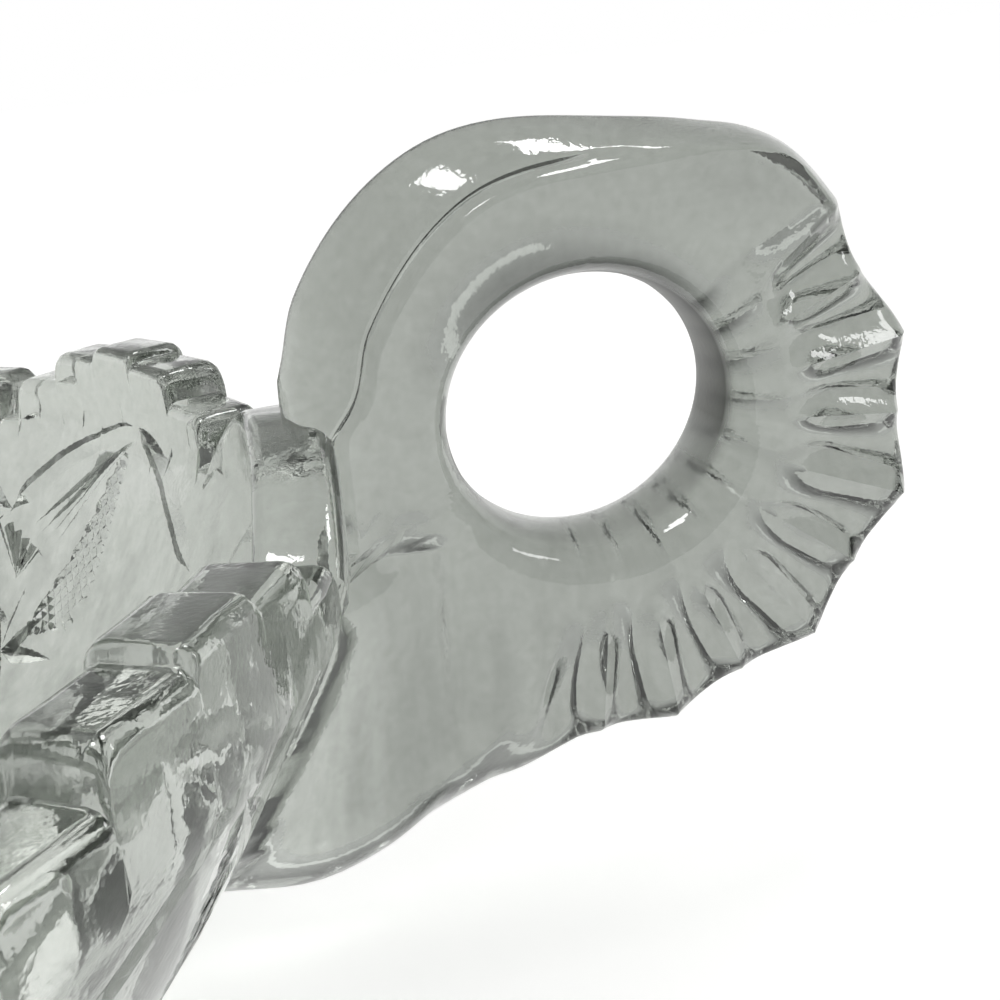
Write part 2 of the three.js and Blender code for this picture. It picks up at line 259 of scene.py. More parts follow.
# %% Finger hole and fan
HOLE_HALF_WIDTH, HOLE_HALF_HEIGHT = 10.0, 9.2
FLUTE_FIRST, FLUTE_ANGLE, FLUTES = 32.0, 13.8, 10
FLUTE_LAST = FLUTE_FIRST - FLUTES * FLUTE_ANGLE


def ease(value, low, high):
    """Rises smoothly from 0 at low to 1 at high."""
    share = min(1.0, max(0.0, (value - low) / (high - low)))
    return share * share * (3 - 2 * share)


def hole_radius(angle):
    a = math.radians(angle)
    across, up = HOLE_HALF_HEIGHT * math.cos(a), HOLE_HALF_WIDTH * math.sin(a)
    return HOLE_HALF_WIDTH * HOLE_HALF_HEIGHT / math.hypot(across, up)


def hollow(angle, width):
    """Depth of a row of hollows that meet in ridges, from the first flute to the last."""
    if not FLUTE_LAST <= angle <= FLUTE_FIRST:
        return 0.0
    return abs(math.sin(math.pi * (angle - FLUTE_FIRST) / width))


def fan_share(angle):
    """1 on the thin, fluted fan, 0 on the arm and the web."""
    start = 1 - ease(angle, FLUTE_FIRST - FLUTE_ANGLE / 2, FLUTE_FIRST + 2 * FLUTE_ANGLE)
    return start * ease(angle, FLUTE_LAST - FLUTE_ANGLE, FLUTE_LAST)


print("flutes from", FLUTE_FIRST, "to", round(FLUTE_LAST, 1), "degrees")

# %% Flat of the handle
RING_HALF = 5.5
FAN_TAPER, TAPER_START = 2.4, 3.8
FLUTE_DEPTH, FLUTE_START, FLUTE_BAND = 1.4, 13.0, 6.0
# The web and its fillet lie below the hole, in millimetres from the middle of the hole
WEB_STEP, WEB_BELOW, WEB_INWARD = 1.3, (-8.0, -6.0), (-12.5, -9.0)
FILLET, FILLET_RISE, FILLET_WIDTH, FILLET_BELOW = 3.0, 2.0, 9.0, (-12.0, -6.0)
FILLET_LIMIT = 0.93


def face_half(angle, distance, reach):
    """Half the thickness of the flat of the handle, with its flutes, web and fillet."""
    a = math.radians(angle)
    across, up = distance * math.cos(a), distance * math.sin(a)
    start = hole_radius(angle) + TAPER_START
    fall = min(1.0, max(0.0, (distance - start) / (reach - start)))
    flute = hollow(angle, FLUTE_ANGLE) * ease(distance, FLUTE_START, reach - FLUTE_BAND)
    web = (1 - ease(up, *WEB_BELOW)) * (1 - ease(across, *WEB_INWARD))
    from_wall = HOLE_X + across - radius_at(OUTER_WALL, HOLE_Z + up)
    near = min(FILLET_LIMIT, max(0.0, 1 - from_wall / FILLET_WIDTH))
    round_in = FILLET * (1 - math.sqrt(1 - near * near)) + FILLET_RISE * near
    fillet = round_in * (1 - ease(up, *FILLET_BELOW))
    thinner = fan_share(angle) * (FAN_TAPER * fall + FLUTE_DEPTH * flute)
    return RING_HALF - thinner - WEB_STEP * web + fillet


print("fan at its edge:", round(2 * face_half(0, outline(0), outline(0)), 1), "mm thick")

# %% Where the flat and the handle end
LIMIT_START, LIMIT_STEP = 12.0, 0.1
# Beside the wall the crease runs upright, this far from the hole, and then leaves the handle
ROOT_ANGLE, ROOT_CREASE, ROOT_COSINE = 120, 18.2, 0.3
ROOT_RELEASE, ROOT_END = 30, (200, 216)


def wall_limit(angle, reach):
    """How far the handle may reach before it comes to the middle of the wall."""
    a = math.radians(angle)
    distance = LIMIT_START
    while distance < reach:
        z = HOLE_Z + distance * math.sin(a)
        if HOLE_X + distance * math.cos(a) < radius_at(MIDDLE_WALL, z):
            break
        distance += LIMIT_STEP
    return min(distance, reach)


def crease_at(angle, reach, bevel):
    """Distance from the hole at which the flat ends and the bevel begins."""
    if angle <= ROOT_ANGLE:
        return reach - bevel
    upright = ROOT_CREASE / max(ROOT_COSINE, -math.cos(math.radians(angle)))
    return min(reach - bevel, upright + ROOT_RELEASE * ease(angle, *ROOT_END))


print("handle meets the wall", round(wall_limit(180, outline(180)), 1), "mm from the hole")

# %% Rounded lip and rounded edge
LIP_WIDTH, LIP_POWER = 3.4, 2.4
LIP_SHARES = (0.03, 0.09, 0.18, 0.32, 0.5, 0.75)
NOSE, WEB_NOSE, NOSE_TURN = 1.2, 2.6, (-120, -95)
EDGE_SHARES = (0.2, 0.4, 0.58, 0.74, 0.87, 0.95, 0.99)


def lip_rows(throat):
    """Distances and shares of the full thickness on the lip, a little squarer than a round."""
    heights = [(1 - (1 - share) ** LIP_POWER) ** (1 / LIP_POWER) for share in LIP_SHARES]
    return [(throat + LIP_WIDTH * share, height) for share, height in zip(LIP_SHARES, heights)]


def edge_rows(angle, start, limit):
    """Distances and shares of the full thickness from the crease over the rounded outer edge."""
    span = limit - start
    nose = NOSE + WEB_NOSE * (1 - ease(angle, *NOSE_TURN))
    plain = max(0.0, 1 - nose / span)
    turned = [max(0.0, (share - plain) / (1 - plain)) for share in EDGE_SHARES]
    return [(start + span * s, math.sqrt(1 - t * t)) for s, t in zip(EDGE_SHARES, turned)]


print("rows on lip and edge:", len(LIP_SHARES), len(EDGE_SHARES))

# %% Rows on one face of the handle
EDGE_HALF, EDGE_LEAST, SLOPE_LEAST = 1.4, 0.8, 0.5
CREASE, LINE_WIDTH = 0.12, 0.35
CREASE_MARKS = (-0.65, -0.4, -0.2, 0, 0.2, 0.4, 0.65)
FLAT_ROWS, FLAT_END = 24, 0.9
BEVEL_LEAST = 0.8


def handle_side(angle, reach, bevel, line_depth):
    """Distance from the hole and half thickness of the rows on one face, from lip to edge."""
    crease = crease_at(angle, reach, bevel)
    slope = max(SLOPE_LEAST, (face_half(angle, crease, reach) - EDGE_HALF) / bevel)

    def half(distance):
        """The flat and the bevel meet in a soft crease, with a fine line along it on the arm."""
        flat = face_half(angle, distance, reach)
        side = max(EDGE_LEAST, EDGE_HALF + (crease + bevel - distance) * slope)
        soft = math.exp(-flat / CREASE) + math.exp(-side / CREASE)
        line = line_depth * math.exp(-(((distance - crease) / LINE_WIDTH) ** 2))
        return -CREASE * math.log(soft) - line

    throat = hole_radius(angle)
    lip_end, limit = throat + LIP_WIDTH, wall_limit(angle, reach)
    flat_span = crease - FLAT_END - lip_end
    marks = [lip_end + flat_span * k / FLAT_ROWS for k in range(FLAT_ROWS + 1)]
    marks += [crease + mark for mark in CREASE_MARKS]
    squeeze = min(1.0, (limit - lip_end - BEVEL_LEAST) / (marks[-1] - lip_end))
    rows = lip_rows(throat) + [(lip_end + (d - lip_end) * squeeze, 1.0) for d in marks]
    rows += edge_rows(angle, rows[-1][0], limit)
    return [(d, half(d) * share) for d, share in rows]


print("rows on the flat:", FLAT_ROWS + 1, "and on its crease:", len(CREASE_MARKS))

# %% Section of the handle at an angle
SKIN_INSET = 0.16
EDGE_SCALLOP, SCALLOP_POWER = 1.4, 1.4
# The bevel grows on the web, and on the arm more in front than at the rear
BEVEL, WEB_BEVEL, FRONT_BEVEL, REAR_BEVEL = 1.4, 6, 3.4, 1.2
LINE_DEPTH = 0.9
WEB_TURN, ARM_TURN, LINE_TURN = (-120, -90), (45, 150), (60, 100)


def handle_section(angle):
    """Distance from the hole and sideways place of each row, once round the glass."""
    scallop = fan_share(angle) * EDGE_SCALLOP * hollow(angle, 2 * FLUTE_ANGLE) ** SCALLOP_POWER
    reach = outline(angle) - SKIN_INSET - scallop
    bevel = BEVEL + WEB_BEVEL * (1 - ease(angle, *WEB_TURN))
    arm = ease(angle, *ARM_TURN)
    line_depth = LINE_DEPTH * ease(angle, *LINE_TURN)
    front = handle_side(angle, reach, bevel + FRONT_BEVEL * arm, line_depth)
    rear = handle_side(angle, reach, bevel + REAR_BEVEL * arm, 0.0)
    throat, limit = (hole_radius(angle), 0.0), (wall_limit(angle, reach), 0.0)
    return [throat] + rear + [limit] + [(d, -h) for d, h in reversed(front)] + [throat]


print("rows round the glass:", len(handle_section(90)))

# %% Bend the second grid into the handle
WEB_COLUMNS, WEB_SPACING = 12, 1.7
FLUTE_COLUMNS, ARM_COLUMNS = 12, 80
WEB_FIRST, ARM_LAST = HANDLE_OUTLINE[0][0], HANDLE_OUTLINE[-1][0]
FAN_FIRST, ARM_FIRST = FLUTE_LAST - FLUTE_ANGLE, FLUTE_FIRST + FLUTE_ANGLE
FAN_COLUMNS = FLUTE_COLUMNS * (FLUTES + 2)
HANDLE_ANGLES = [WEB_FIRST + WEB_SPACING * k for k in range(WEB_COLUMNS)]
HANDLE_ANGLES += [FAN_FIRST + FLUTE_ANGLE * k / FLUTE_COLUMNS for k in range(FAN_COLUMNS)]
HANDLE_ANGLES += [ARM_FIRST + (ARM_LAST - ARM_FIRST) * k / ARM_COLUMNS for k in range(ARM_COLUMNS)]


def round_the_hole(column, point):
    angle = math.radians(HANDLE_ANGLES[column])
    x, z = HOLE_X + point[0] * math.cos(angle), HOLE_Z + point[0] * math.sin(angle)
    return Vector((x, point[1], z))


handle_sections = [handle_section(angle) for angle in HANDLE_ANGLES]
handle = to_object(bent_grid(handle_sections, round_the_hole), "ring_handle")
print("handle:", len(handle.data.vertices), "vertices")

# %% [markdown]
# ## The mitre cuts
# Each panel of the wall carries the same imitation-cut figure: two curved mitres that meet in an
# arch, a spray of fine lines, a crescent of diamond points, a small ribbed fan and a star of leaf
# cuts. A mould for it is cut with a V-edged wheel, so the tool here is a three-sided bar that is
# bent along its line on the wall, and a Boolean takes it away. A bump map would be quicker, but
# glass shows its cuts by bending light, which needs real facets.

# %% A V-edged bar
LIFT = 0.3
THIN_END = 0.03
BLANKS = {}


def blank(steps):
    """A straight three-sided bar of length 1, with a ring of corners at each step."""
    if steps not in BLANKS:
        bm = bmesh.new()
        bmesh.ops.create_cone(bm, cap_ends=True, segments=3, radius1=1, radius2=1, depth=1)
        along = [e for e in bm.edges if abs(e.verts[0].co.z - e.verts[1].co.z) > 0.5]
        bmesh.ops.subdivide_edges(bm, edges=along, cuts=steps - 1, use_grid_fill=True)
        BLANKS[steps] = bpy.data.meshes.new("bar")
        bm.to_mesh(BLANKS[steps])
        bm.free()
    return BLANKS[steps]


def add_cut(bm, line, cut, shape, lift):
    """Lays one bar along a line of places and outward directions on the glass."""
    width, depth = cut
    steps, first = len(line) - 1, len(bm.verts)
    bm.from_mesh(blank(steps))
    bm.verts.ensure_lookup_table()
    for v in bm.verts[first:]:
        k = round((v.co.z + 0.5) * steps)
        at, out = line[k]
        along = line[min(k + 1, steps)][0] - line[max(k - 1, 0)][0]
        size = max(THIN_END, shape(k / steps))
        if v.co.y > 0:
            v.co = at - out * depth * size
        else:
            half = math.copysign(width / 2 * (depth + lift) / depth, v.co.x)
            v.co = at + out * lift + out.cross(along).normalized() * half * size


BAR_STEPS = 8
print("a bar of", BAR_STEPS, "steps has", len(blank(BAR_STEPS).polygons), "faces")

# %% Lines on the wall and shapes of a cut
SLOPE_STEP = 0.1
LEAF_POWER, END_SLOPE = 0.7, 8


def on_wall(panel, points):
    """Places and outward directions on the outside of the wall, from degrees and heights."""
    line = []
    for degrees, z in points:
        turn = Matrix.Rotation(math.radians(PANEL * panel + degrees), 3, "Z")
        flare = radius_at(OUTER_WALL, z + SLOPE_STEP) - radius_at(OUTER_WALL, z - SLOPE_STEP)
        at, out = Vector((radius_at(OUTER_WALL, z), 0, z)), Vector((2 * SLOPE_STEP, 0, -flare))
        line.append((turn @ at, turn @ out.normalized()))
    return line


def straight(start, end, steps):
    return [tuple(Vector(start).lerp(Vector(end), k / steps)) for k in range(steps + 1)]


def leaf(share):
    return math.sin(math.pi * share) ** LEAF_POWER


def long_cut(share):
    return min(1.0, END_SLOPE * share, END_SLOPE * (1 - share))


def wedge(share):
    return share


print("a leaf cut a quarter of the way along has", round(leaf(0.25), 2), "of its depth")

# %% Combine the shapes with Booleans
tools = [handle]
fuse = dish.modifiers.new("handle", "BOOLEAN")
fuse.operation, fuse.solver, fuse.object = "UNION", "MANIFOLD", handle


def carve(name, lines, cut, shape, lift=LIFT):
    """Takes one set of bars out of the dish. The bars of a set stay clear of each other."""
    bm = bmesh.new()
    for line in lines:
        add_cut(bm, line, cut, shape, lift)
    bmesh.ops.recalc_face_normals(bm, faces=bm.faces[:])
    tool = to_object(bm, name)
    groove = dish.modifiers.new(name, "BOOLEAN")
    groove.operation, groove.solver, groove.object = "DIFFERENCE", "MANIFOLD", tool
    tools.append(tool)
    print(name, "-", len(lines), "bars")


print("fused with the bowl:", fuse.object.name)

# %% The arch of each panel and its spray of fine lines
# A cut is its width and its depth, and a point on the wall is degrees and height
MITRE, FINE_LINE = (2.4, 1.25), (0.7, 0.35)
ARCH_LEFT = [(0.4, 32.8), (5, 31.2), (11, 28), (15.2, 23.3)]
ARCH_RIGHT = [(0.6, 32.8), (-4, 30.5), (-7, 26.2), (-15.2, 23.4)]
ARCH_STEPS, SPRAY_STEPS = 27, 6
SPRAY_START, SPRAY_SHIFT, SPRAY_TOP = 0.9, 0.05, 31.2
SPRAY_ENDS = [(11.5, 22.6), (10.5, 21.9), (9.5, 21.1), (8.5, 20.5)]
for name, points in (("arch_left", ARCH_LEFT), ("arch_right", ARCH_RIGHT)):
    carve(name, [on_wall(p, curve(points, ARCH_STEPS)) for p in PANELS], MITRE, long_cut)
for k, end in enumerate(SPRAY_ENDS):
    ray = straight((SPRAY_START - SPRAY_SHIFT * k, SPRAY_TOP), end, SPRAY_STEPS)
    carve(f"fine_line_{k}", [on_wall(p, ray) for p in PANELS], FINE_LINE, leaf, lift=0.15)

# %% The star of leaf cuts and the small ribbed fan
LEAF_CUT, RIB_CUT = (2.0, 1.0), (1.3, 0.6)
STAR_STEPS, RIB_STEPS = 10, 4
STAR = [
    ((10.4, 17.2), (9.3, 7.8)),
    ((2.3, 12.6), (15.4, 11.4)),
    ((6.2, 15.6), (12.9, 8.7)),
    ((13, 15.4), (6.2, 8.8)),
]
RIBS, RIB_FOOT, RIB_TOP, RIB_STEP = 6, (12.2, 17.7), (9.8, 20.2), (1.3, 0.48)
RIB_TOPS = [(RIB_TOP[0] + RIB_STEP[0] * k, RIB_TOP[1] + RIB_STEP[1] * k) for k in range(RIBS)]
for k, (start, end) in enumerate(STAR):
    leaves = [on_wall(p, straight(start, end, STAR_STEPS)) for p in PANELS]
    carve(f"star_{k}", leaves, LEAF_CUT, leaf)
ribs = [on_wall(p, straight(RIB_FOOT, top, RIB_STEPS)) for p in PANELS for top in RIB_TOPS]
carve("ribs", ribs, RIB_CUT, wedge, lift=0.06)

# %% The crescent of diamond points
POINT_CUT, POINT_PITCH = (0.92, 0.70), 0.95
CRESCENT_RIGHT = [(8.3, 13.2), (1.9, 15.1), (0.6, 18.5), (0.8, 26.3), (1.2, 31.4)]
CRESCENT_LEFT = [(8.4, 13.2), (7.7, 16.3), (5.7, 19.9), (4, 24), (1.4, 31.4)]
CRESCENT_FOOT, CRESCENT_MIDDLE = 13.2, 20
# Lines at 45 degrees lean by this many degrees round the bowl for each millimetre of height
LEAN, CRESCENT_MM_PER_DEGREE = 0.97, 1.13
LINES_EACH_WAY, MARKS, MARK_STEP, FEWEST_MARKS = 60, 182, 0.1, 8


def in_crescent(degrees, z):
    return radius_at(CRESCENT_RIGHT, z) <= degrees <= radius_at(CRESCENT_LEFT, z)


def slanted_lines(lean):
    """Parallel lines across the crescent, leaning to one side, a pitch apart."""
    lines = []
    heights = [CRESCENT_FOOT + MARK_STEP * i for i in range(MARKS)]
    for k in range(-LINES_EACH_WAY, LINES_EACH_WAY + 1):
        shift = k * POINT_PITCH * math.sqrt(2) / CRESCENT_MM_PER_DEGREE
        marks = [(shift + lean * (z - CRESCENT_MIDDLE), z) for z in heights]
        inside = [m for m in marks if in_crescent(*m)]
        if len(inside) > FEWEST_MARKS:
            lines.append(straight(inside[0], inside[-1], BAR_STEPS))
    return lines


for name, lean in (("points_up", LEAN), ("points_down", -LEAN)):
    bars = [on_wall(p, line) for p in PANELS for line in slanted_lines(lean)]
    carve(name, bars, POINT_CUT, long_cut, lift=0.03)

# %% [markdown]
# ## The star under the base
# The underside is not in the photograph. Dishes of this kind carry a many-rayed star there, which
# hides the mark of the plunger, so a plain one of twenty rays is cut with the same bar.

# %% The rays of the base
RAYS, RAY_CUT = 20, (3.0, 1.2)
RAY_START, RAY_LENGTH = 6, 28
DOWN = Vector((0, 0, -1))


def base_ray(k):
    turn = Matrix.Rotation(2 * math.pi * k / RAYS, 3, "Z")
    places = [RAY_START + RAY_LENGTH * i / BAR_STEPS for i in range(BAR_STEPS + 1)]
    return [(turn @ Vector((x, 0, 0)), DOWN) for x in places]


carve("base_star", [base_ray(k) for k in range(RAYS)], RAY_CUT, leaf)

# %% [markdown]
# ## One pressing
# The Booleans are applied, so that the dish is one skin, as the real glass is: a gap or an inner
# wall between bowl and handle would show as a silvery film. Points that the Booleans leave closer
# than two thousandths of a millimetre are merged, which leaves some flaps without thickness in the
# fine cuts, and the script counts their edges. Facets that meet at a clear angle keep a crisp edge,
# and all the rest is shaded smooth, weighted by the size of the faces.

# %% Apply the cuts
evaluated = dish.evaluated_get(bpy.context.evaluated_depsgraph_get())
glass_mesh = bpy.data.meshes.new_from_object(evaluated)
dish.modifiers.clear()
dish.data = glass_mesh
dish.data.name = "nappy_glass"
for tool in tools:
    bpy.data.objects.remove(tool)
print("after the cuts:", len(dish.data.vertices), "vertices")

# %% Clean the mesh
MERGE, SLIVER = 2e-6, 1e-6
bm = bmesh.new()
bm.from_mesh(dish.data)
bmesh.ops.remove_doubles(bm, verts=bm.verts[:], dist=MERGE)
bmesh.ops.dissolve_degenerate(bm, edges=bm.edges[:], dist=SLIVER)
flap_edges = [e for e in bm.edges if not e.is_manifold]
print("edges that don't join just two faces:", len(flap_edges))
print("volume in cm3:", round(1e6 * bm.calc_volume(), 1))
bmesh.ops.triangulate(bm, faces=bm.faces[:])
bm.to_mesh(dish.data)
bm.free()

# %% Shade the facets
CRISP = math.radians(38)
dish.data.polygons.foreach_set("use_smooth", [True] * len(dish.data.polygons))
dish.data.set_sharp_from_angle(angle=CRISP)
weights = dish.modifiers.new("normals", "WEIGHTED_NORMAL")
weights.keep_sharp = True
print("dish:", len(dish.data.polygons), "triangles")

# %% [markdown]
# ## Pressed glass
# The glass is soda-lime, pressed in an iron mould and polished in the flame. To the eye it is
# clear with a grey cast, lighter on the thin wall than on the thick handle. The cast could be an
# absorption in the body of the glass alone, but light goes round and round inside a rim, which
# would then turn black. So most of it is a tint of the skin, and only a little is absorption. The
# mould leaves slow ripples some millimetres wide and fine pits, the tint has upright darker streaks
# on the lower half, the wall of the finger hole is rough from the pin and nearly black with painted
# shade, and use leaves dull patches, which are drawn as a change of roughness.

# %% Colours and nodes
GLASS_CAST, CAST_DENSITY = "#E7E8E7", 8.0


def colour(hex_value):
    """An sRGB hex colour as linear RGBA."""
    parts = [int(hex_value[i : i + 2], 16) / 255 for i in (1, 3, 5)]
    return [c / 12.92 if c <= 0.04045 else ((c + 0.055) / 1.055) ** 2.4 for c in parts] + [1.0]


def node(tree, kind, inputs=None, **settings):
    """Adds a node. An input is a value, or the output socket that feeds it."""
    made = tree.nodes.new(kind)
    for name, value in settings.items():
        setattr(made, name, value)
    for name, value in (inputs or {}).items():
        if isinstance(value, bpy.types.NodeSocket):
            tree.links.new(value, made.inputs[name])
        else:
            made.inputs[name].default_value = value
    return made


def empty_tree(data):
    data.use_nodes = True
    data.node_tree.nodes.clear()
    return data.node_tree


glass = bpy.data.materials.new("soda_lime_glass_pressed_fire_polished")
tree = empty_tree(glass)
place = node(tree, "ShaderNodeTexCoord").outputs["Object"]
axes = node(tree, "ShaderNodeSeparateXYZ", {0: place}).outputs
print("cast of the body in linear light:", [round(c, 3) for c in colour(GLASS_CAST)])

# %% Ripples, pits and dull patches
RIPPLE, RIPPLE_DEPTH = 8 * MM, 0.10 * MM
PIT, PIT_DEPTH = 0.4 * MM, 0.012 * MM
WEAR, POLISHED, WORN = 14 * MM, 0.02, 0.12
WEAR_FROM, WEAR_TO = 0.45, 0.75
ripple = node(tree, "ShaderNodeTexNoise", {"Vector": place, "Scale": 1 / RIPPLE, "Detail": 2.0})
pits = node(tree, "ShaderNodeTexNoise", {"Vector": place, "Scale": 1 / PIT, "Detail": 1.0})
wear = node(tree, "ShaderNodeTexNoise", {"Vector": place, "Scale": 1 / WEAR, "Detail": 6.0})
slow = node(
    tree,
    "ShaderNodeBump",
    {"Height": ripple.outputs["Fac"], "Strength": 1.0, "Distance": RIPPLE_DEPTH},
)
fine = node(
    tree,
    "ShaderNodeBump",
    {
        "Height": pits.outputs["Fac"],
        "Strength": 1.0,
        "Distance": PIT_DEPTH,
        "Normal": slow.outputs[0],
    },
)
dull = node(
    tree,
    "ShaderNodeMapRange",
    {
        "Value": wear.outputs["Fac"],
        "From Min": WEAR_FROM,
        "From Max": WEAR_TO,
        "To Min": POLISHED,
        "To Max": WORN,
    },
)
print("ripples", round(RIPPLE / MM, 1), "mm and pits", round(PIT / MM, 1), "mm wide")

# %% Upright darker streaks on the lower half
STREAK, STREAK_STRETCH, STREAK_STRENGTH = 2.5 * MM, 0.1, 0.4
STREAK_FROM, STREAK_TO = 0.45, 0.7
STREAK_FULL, STREAK_END = 22 * MM, 33 * MM
# Upright darker streaks in the tint, strongest low down and gone at the height of the rim valleys
upright = node(tree, "ShaderNodeMapping", {"Vector": place, "Scale": (1.0, 1.0, STREAK_STRETCH)})
streak = node(
    tree,
    "ShaderNodeTexNoise",
    {"Vector": upright.outputs[0], "Scale": 1 / STREAK, "Detail": 5.0},
)
lines = node(
    tree,
    "ShaderNodeMapRange",
    {"Value": streak.outputs["Fac"], "From Min": STREAK_FROM, "From Max": STREAK_TO},
)
low = node(
    tree,
    "ShaderNodeMapRange",
    {
        "Value": axes["Z"],
        "From Min": STREAK_FULL,
        "From Max": STREAK_END,
        "To Min": STREAK_STRENGTH,
        "To Max": 0.0,
    },
)
low_streaks = node(
    tree,
    "ShaderNodeMath",
    {0: lines.outputs[0], 1: low.outputs[0]},
    operation="MULTIPLY",
)
print("drag lines", round(STREAK / MM, 1), "mm wide, up to", round(STREAK_END / MM), "mm high")

# %% Rough wall of the finger hole, darkened with painted shade
# The hole is an ellipse, so places are scaled until it is a circle of radius 1
HOLE_MIDDLE = (HOLE_X * MM, 0.0, HOLE_Z * MM)
TO_CIRCLE = (1 / HOLE_HALF_WIDTH / MM, 0.0, 1 / HOLE_HALF_HEIGHT / MM)
HOLE_WALL_FULL, HOLE_WALL_END = 1.04, 1.07
HOLE_WALL_FRONT, HOLE_WALL_REAR = -4.0 * MM, -2.5 * MM
HOLE_WALL_LOW, HOLE_WALL_HIGH, HOLE_WALL_LOW_SHARE = 29 * MM, 36 * MM, 0.25
PIN_ROUGHNESS = 0.4
from_middle = node(tree, "ShaderNodeVectorMath", {0: place, 1: HOLE_MIDDLE}, operation="SUBTRACT")
in_circle = node(
    tree,
    "ShaderNodeVectorMath",
    {0: from_middle.outputs[0], 1: TO_CIRCLE},
    operation="MULTIPLY",
)
ring = node(tree, "ShaderNodeVectorMath", {0: in_circle.outputs[0]}, operation="LENGTH")
wall_of_hole = node(
    tree,
    "ShaderNodeMapRange",
    {
        "Value": ring.outputs["Value"],
        "From Min": HOLE_WALL_FULL,
        "From Max": HOLE_WALL_END,
        "To Min": 1.0,
        "To Max": 0.0,
    },
)
behind_lip = node(
    tree,
    "ShaderNodeMapRange",
    {"Value": axes["Y"], "From Min": HOLE_WALL_FRONT, "From Max": HOLE_WALL_REAR},
)
upper = node(
    tree,
    "ShaderNodeMapRange",
    {"Value": axes["Z"], "From Min": HOLE_WALL_LOW, "From Max": HOLE_WALL_HIGH, "To Min": HOLE_WALL_LOW_SHARE},
)
# One mask carries both the rough wall of the hole and the painted shade on it
hole_shade_and_rough = wall_of_hole
for share in (behind_lip, upper):
    hole_shade_and_rough = node(
        tree,
        "ShaderNodeMath",
        {0: hole_shade_and_rough.outputs[0], 1: share.outputs[0]},
        operation="MULTIPLY",
    )
pin_rough = node(
    tree,
    "ShaderNodeMath",
    {0: hole_shade_and_rough.outputs[0], 1: PIN_ROUGHNESS},
    operation="MULTIPLY",
)
rough = node(
    tree,
    "ShaderNodeMath",
    {0: pin_rough.outputs[0], 1: dull.outputs[0]},
    operation="MAXIMUM",
)
print("rough wall from", round(HOLE_WALL_LOW / MM), "mm up, full from", round(HOLE_WALL_HIGH / MM), "mm up")

# %% Tint of the skin
GRAIN = 0.9 * MM
WALL_TINTS, HANDLE_TINTS = ("#B4B8B2", "#D0D4CF"), ("#8F938D", "#A8ACA7")
# The second colour is painted shade, a near-black tint on the wall of the finger hole
STREAK_TINT, HOLE_PAINTED_SHADE = "#747872", "#1E1F1C"
WALL_X, HANDLE_X = 60 * MM, 72 * MM
grain = node(tree, "ShaderNodeTexNoise", {"Vector": place, "Scale": 1 / GRAIN, "Detail": 3.0})
thick = node(
    tree,
    "ShaderNodeMapRange",
    {"Value": axes["X"], "From Min": WALL_X, "From Max": HANDLE_X},
)
wall_tint, handle_tint = (
    node(
        tree,
        "ShaderNodeMix",
        {"Factor": grain.outputs["Fac"], "A": colour(dark), "B": colour(light)},
        data_type="RGBA",
    )
    for dark, light in (WALL_TINTS, HANDLE_TINTS)
)
tint = wall_tint.outputs["Result"]
# Over the wall's tint lie the handle's tint, the upright streaks and the painted shade in the
# finger hole
for share, over in (
    (thick, handle_tint.outputs["Result"]),
    (low_streaks, colour(STREAK_TINT)),
    (hole_shade_and_rough, colour(HOLE_PAINTED_SHADE)),
):
    layer = node(
        tree,
        "ShaderNodeMix",
        {"Factor": share.outputs[0], "A": tint, "B": over},
        data_type="RGBA",
    )
    tint = layer.outputs["Result"]
print("tints of wall and handle:", WALL_TINTS, HANDLE_TINTS)

# %% Body of the glass
GLASS_IOR = 1.52
clear = node(
    tree,
    "ShaderNodeBsdfPrincipled",
    {
        "Base Color": tint,
        "Roughness": rough.outputs[0],
        "IOR": GLASS_IOR,
        "Transmission Weight": 1.0,
        "Normal": fine.outputs[0],
    },
)
cast = node(
    tree,
    "ShaderNodeVolumeAbsorption",
    {"Color": colour(GLASS_CAST), "Density": CAST_DENSITY},
)
# Lamps shine through clear glass, which a path tracer finds only by chance, so shadow rays pass
shade = node(tree, "ShaderNodeBsdfTransparent", {"Color": colour("#E2E4E2")})
rays = node(tree, "ShaderNodeLightPath").outputs
skin = node(
    tree,
    "ShaderNodeMixShader",
    {0: rays["Is Shadow Ray"], 1: clear.outputs[0], 2: shade.outputs[0]},
)
node(tree, "ShaderNodeOutputMaterial", {"Surface": skin.outputs[0], "Volume": cast.outputs[0]})
dish.data.materials.clear()
dish.data.materials.append(glass)
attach(dish, "root")
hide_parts("bowl", "handle")
print("materials:", [m.name for m in dish.data.materials])

# %% [markdown]
# ## Floor and light
# The dish stands on a white sweep in plain studio light. The floor glows just enough to show as
# white to the camera and through the glass, and still takes the shadow of the dish. Glass is drawn
# by what surrounds it, so for rays that the glass bends, the room is white near the horizon and
# darker higher up and towards the camera. One softbox overhead lights the floor. The others, one
# at the upper left and strips at the back and on the right, only show as bright marks in the glass.

# %% White floor
FLOOR_HALF = 4000
FLOOR_GLOW = 0.54
floor_bm = bmesh.new()
bmesh.ops.create_grid(floor_bm, x_segments=4, y_segments=4, size=FLOOR_HALF)
floor = to_object(floor_bm, "floor")
sweep = bpy.data.materials.new("white_paper_sweep")
tree = empty_tree(sweep)
rays = node(tree, "ShaderNodeLightPath").outputs
seen = rays["Is Camera Ray"]
for kind in ("Is Glossy Ray", "Is Transmission Ray"):
    either = node(tree, "ShaderNodeMath", {0: seen, 1: rays[kind]}, operation="MAXIMUM")
    seen = either.outputs[0]
level = node(tree, "ShaderNodeMath", {0: seen, 1: FLOOR_GLOW}, operation="MULTIPLY")
paper = node(tree, "ShaderNodeBsdfDiffuse", {"Color": colour("#E6E6E4")})
glow = node(
    tree,
    "ShaderNodeEmission",
    {"Color": colour("#FFFFFF"), "Strength": level.outputs[0]},
)
